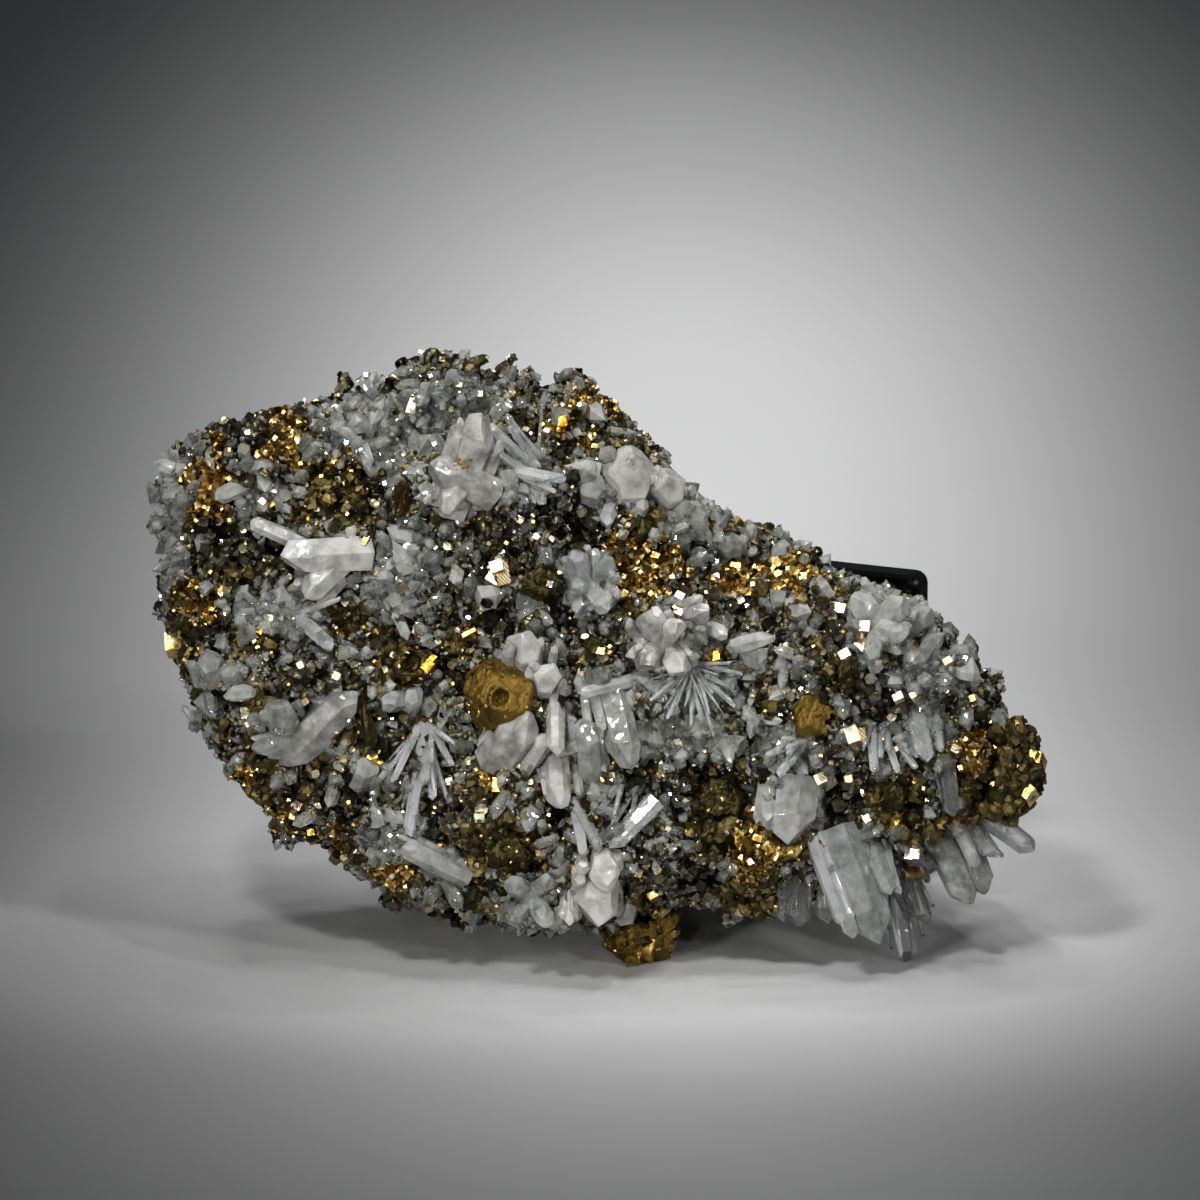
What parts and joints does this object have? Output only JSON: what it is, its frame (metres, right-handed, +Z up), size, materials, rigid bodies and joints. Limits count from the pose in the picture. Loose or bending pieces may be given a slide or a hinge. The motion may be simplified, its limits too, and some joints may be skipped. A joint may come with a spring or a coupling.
{
  "type": "chalcopyrite specimen",
  "caption": "Upright cabinet mineral specimen of brassy chalcopyrite with milky quartz crystals and pale pyrite on dark matrix, leaning on a small black acrylic bracket.",
  "frame": {"origin": "on the surface it stands on, under the middle of the bounding box", "axes": "+X to the right along the specimen's length, +Y away from its face towards the bracket, +Z up"},
  "size_m": [0.0902, 0.0774, 0.0606],
  "materials": {
    "matrix": "dark glittering druse of small sulphide and quartz crystals",
    "quartz": "milky to clear natural crystal faces",
    "chalcopyrite": "brassy yellow metallic lustre, tarnished olive and bronze",
    "pyrite": "pale brassy mirror-bright faces, some striated",
    "acrylic": "polished black cast acrylic"
  },
  "bodies": {
    "root": {"acrylic_bracket": "acrylic", "chalcopyrite_ball_middle": "chalcopyrite", "chalcopyrite_ball_right": "chalcopyrite", "chalcopyrite_brassy_holed": "chalcopyrite", "chalcopyrite_bronze_hollow": "chalcopyrite", "chalcopyrite_dark_mass": "chalcopyrite", "chalcopyrite_flat_upper": "chalcopyrite", "chalcopyrite_foot_tip": "chalcopyrite", "chalcopyrite_golden_pitted": "chalcopyrite", "chalcopyrite_iridescent": "chalcopyrite", "chalcopyrite_olive_mass": "chalcopyrite", "chalcopyrite_olive_pitted": "chalcopyrite", "chalcopyrite_olive_right": "chalcopyrite", "chalcopyrite_right_end": "chalcopyrite", "chalcopyrite_rod": "chalcopyrite", "chalcopyrite_striated_block": "chalcopyrite", "matrix": "matrix", "pyrite_block_edge": "pyrite", "pyrite_block_right": "pyrite", "pyrite_facet_hollow": "pyrite", "pyrite_facet_middle": "pyrite", "quartz_bar_foot": "quartz", "quartz_bar_shoulder": "quartz", "quartz_block_middle": "quartz", "quartz_bright_prism": "quartz", "quartz_clear_cluster": "quartz", "quartz_clear_prisms": "quartz", "quartz_cluster_foot": "quartz", "quartz_double_point": "quartz", "quartz_drop_right": "quartz", "quartz_end_right": "quartz", "quartz_facet_left": "quartz", "quartz_foot_tips": "quartz", "quartz_fringe_foot": "quartz", "quartz_grey_hollow": "quartz", "quartz_knob_upper": "quartz", "quartz_large_prism": "quartz", "quartz_lobes_left": "quartz", "quartz_lobes_right": "quartz", "quartz_mass_left": "quartz", "quartz_mass_right": "quartz", "quartz_milky_foot": "quartz", "quartz_needles_left": "quartz", "quartz_needles_right": "quartz", "quartz_pair_left": "quartz", "quartz_pair_shoulder": "quartz", "quartz_pair_upper": "quartz", "quartz_plate_middle": "quartz", "quartz_sheaf_right": "quartz", "quartz_sheaf_upper": "quartz", "quartz_spindle": "quartz", "quartz_spray_middle": "quartz", "quartz_stub_left": "quartz", "quartz_t_crystal": "quartz", "quartz_tapered_right": "quartz", "quartz_white_group": "quartz", "quartz_white_left": "quartz", "quartz_white_upper": "quartz", "quartz_window": "quartz"}
  },
  "joints": []
}
